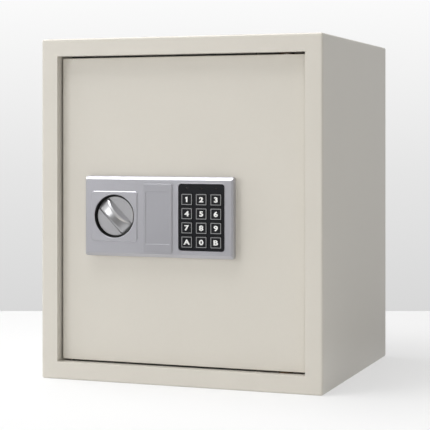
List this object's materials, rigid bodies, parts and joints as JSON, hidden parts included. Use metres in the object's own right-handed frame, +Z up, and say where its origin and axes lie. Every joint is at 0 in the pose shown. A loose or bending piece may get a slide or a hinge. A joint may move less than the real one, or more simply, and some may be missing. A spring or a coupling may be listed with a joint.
{
  "type": "in-room safe",
  "caption": "Steel hotel room safe: cabinet with an inset door, a keypad and knob lock panel, live bolts, shelf and anchor holes.",
  "frame": {"origin": "on the plane that the cabinet stands on, at the centre of the cabinet's footprint", "axes": "+Z up, +X to the right of someone who faces the door, +Y from the door to the back"},
  "size_m": [0.344, 0.3055, 0.4],
  "materials": {
    "body_paint": "ivory powder coat, semi-gloss",
    "door_paint": "ivory powder coat, semi-gloss",
    "panel_silver": "satin silver",
    "knob_silver": "satin silver",
    "keypad_black": "gloss black",
    "key_black": "black with a pale outline and numeral",
    "lens": "smoked lens",
    "silicone": "moulded silicone",
    "board": "solder-masked laminate",
    "zinc_steel": "zinc plated",
    "bolt_steel": "turned and plated",
    "brass": "turned",
    "bronze": "sintered bronze",
    "coil_wrap": "taped winding",
    "black_plastic": "moulded, fine grain",
    "cell_sleeve": "printed film over steel",
    "contact_metal": "nickel plated spring steel",
    "felt": "needled felt",
    "rubber": "black rubber",
    "wire": "insulated wire",
    "button_red": "moulded"
  },
  "bodies": {
    "cabinet": {"cabinet_wrap": "body_paint", "front_frame": "body_paint", "strike_rail": "body_paint", "back_panel": "body_paint", "floor_mat": "felt", "shelf": "body_paint", "shelf_brackets": "body_paint", "hinge_bushes": "bronze", "door_stops": "rubber"},
    "door": {"door_plate": "door_paint", "hinge_brackets": "zinc_steel", "hinge_pins": "bolt_steel", "door_box": "zinc_steel", "door_back_cover": "door_paint", "cover_screws": "zinc_steel", "guide_studs": "zinc_steel", "lock_panel": "panel_silver", "panel_screws": "zinc_steel", "keypad_bezel": "keypad_black", "keypad_mat": "silicone", "keypad_board": "board", "status_lights": "lens", "shaft_bushing": "bronze", "cable_grommet": "rubber", "wiring": "wire", "solenoid_yoke": "zinc_steel", "solenoid_coil": "coil_wrap", "plunger_spring": "contact_metal", "lock_barrel": "bolt_steel", "lock_nut": "brass", "battery_tray": "black_plastic", "battery_cells": "cell_sleeve", "battery_contacts": "contact_metal", "reset_board": "board", "reset_switch": "black_plastic"},
    "bolt_work": {"bolt_carrier": "zinc_steel", "live_bolts": "bolt_steel", "bolt_screws": "zinc_steel"},
    "knob": {"knob": "knob_silver", "knob_shaft": "bolt_steel", "knob_crank": "zinc_steel"},
    "plunger": {"solenoid_plunger": "bolt_steel"},
    "override_plug": {"lock_plug": "brass", "lock_cam": "zinc_steel"},
    "override_cover": {"override_cover": "panel_silver"},
    "reset_button": {"reset_button": "button_red"},
    "battery_hatch": {"battery_hatch": "black_plastic"},
    "key_1": {"key_1": "key_black"},
    "key_2": {"key_2": "key_black"},
    "key_3": {"key_3": "key_black"},
    "key_4": {"key_4": "key_black"},
    "key_5": {"key_5": "key_black"},
    "key_6": {"key_6": "key_black"},
    "key_7": {"key_7": "key_black"},
    "key_8": {"key_8": "key_black"},
    "key_9": {"key_9": "key_black"},
    "key_a": {"key_a": "key_black"},
    "key_0": {"key_0": "key_black"},
    "key_b": {"key_b": "key_black"}
  },
  "joints": [
    {"name": "door_hinge", "type": "hinge", "parent": "cabinet", "child": "door", "pos_m": [0.1239, -0.129, 0.2], "axis": [0, 0, 1], "range_deg": [0, 110]},
    {"name": "bolt_slide", "type": "slide", "parent": "door", "child": "bolt_work", "axis": [-1, 0, 0], "range_m": [0, 0.018]},
    {"name": "knob_turn", "type": "hinge", "parent": "door", "child": "knob", "pos_m": [-0.07825, -0.1429, 0.193], "axis": [0, -1, 0], "range_deg": [0, 90.01]},
    {"name": "plunger_slide", "type": "slide", "parent": "door", "child": "plunger", "axis": [0, 0, 1], "range_m": [-0.0055, 0]},
    {"name": "override_turn", "type": "hinge", "parent": "door", "child": "override_plug", "pos_m": [-0.0239, -0.1468, 0.215], "axis": [0, 1, 0], "range_deg": [0, 90]},
    {"name": "cover_pull", "type": "slide", "parent": "door", "child": "override_cover", "axis": [0, -1, 0], "range_m": [0, 0.03]},
    {"name": "reset_press", "type": "slide", "parent": "door", "child": "reset_button", "axis": [0, -1, 0], "range_m": [0, 0.0008], "stiffness_N_per_m": 600, "springref_m": -0.0004},
    {"name": "hatch_slide", "type": "slide", "parent": "door", "child": "battery_hatch", "axis": [0, 0, 1], "range_m": [0, 0.058]},
    {"name": "key_1_press", "type": "slide", "parent": "door", "child": "key_1", "axis": [0, 1, 0], "range_m": [0, 0.0007], "stiffness_N_per_m": 600, "springref_m": -0.0004},
    {"name": "key_2_press", "type": "slide", "parent": "door", "child": "key_2", "axis": [0, 1, 0], "range_m": [0, 0.0007], "stiffness_N_per_m": 600, "springref_m": -0.0004},
    {"name": "key_3_press", "type": "slide", "parent": "door", "child": "key_3", "axis": [0, 1, 0], "range_m": [0, 0.0007], "stiffness_N_per_m": 600, "springref_m": -0.0004},
    {"name": "key_4_press", "type": "slide", "parent": "door", "child": "key_4", "axis": [0, 1, 0], "range_m": [0, 0.0007], "stiffness_N_per_m": 600, "springref_m": -0.0004},
    {"name": "key_5_press", "type": "slide", "parent": "door", "child": "key_5", "axis": [0, 1, 0], "range_m": [0, 0.0007], "stiffness_N_per_m": 600, "springref_m": -0.0004},
    {"name": "key_6_press", "type": "slide", "parent": "door", "child": "key_6", "axis": [0, 1, 0], "range_m": [0, 0.0007], "stiffness_N_per_m": 600, "springref_m": -0.0004},
    {"name": "key_7_press", "type": "slide", "parent": "door", "child": "key_7", "axis": [0, 1, 0], "range_m": [0, 0.0007], "stiffness_N_per_m": 600, "springref_m": -0.0004},
    {"name": "key_8_press", "type": "slide", "parent": "door", "child": "key_8", "axis": [0, 1, 0], "range_m": [0, 0.0007], "stiffness_N_per_m": 600, "springref_m": -0.0004},
    {"name": "key_9_press", "type": "slide", "parent": "door", "child": "key_9", "axis": [0, 1, 0], "range_m": [0, 0.0007], "stiffness_N_per_m": 600, "springref_m": -0.0004},
    {"name": "key_a_press", "type": "slide", "parent": "door", "child": "key_a", "axis": [0, 1, 0], "range_m": [0, 0.0007], "stiffness_N_per_m": 600, "springref_m": -0.0004},
    {"name": "key_0_press", "type": "slide", "parent": "door", "child": "key_0", "axis": [0, 1, 0], "range_m": [0, 0.0007], "stiffness_N_per_m": 600, "springref_m": -0.0004},
    {"name": "key_b_press", "type": "slide", "parent": "door", "child": "key_b", "axis": [0, 1, 0], "range_m": [0, 0.0007], "stiffness_N_per_m": 600, "springref_m": -0.0004}
  ],
  "couplings": [
    {"joint": "knob_turn", "follows": "bolt_slide", "rad_per_m": 87.266}
  ]
}
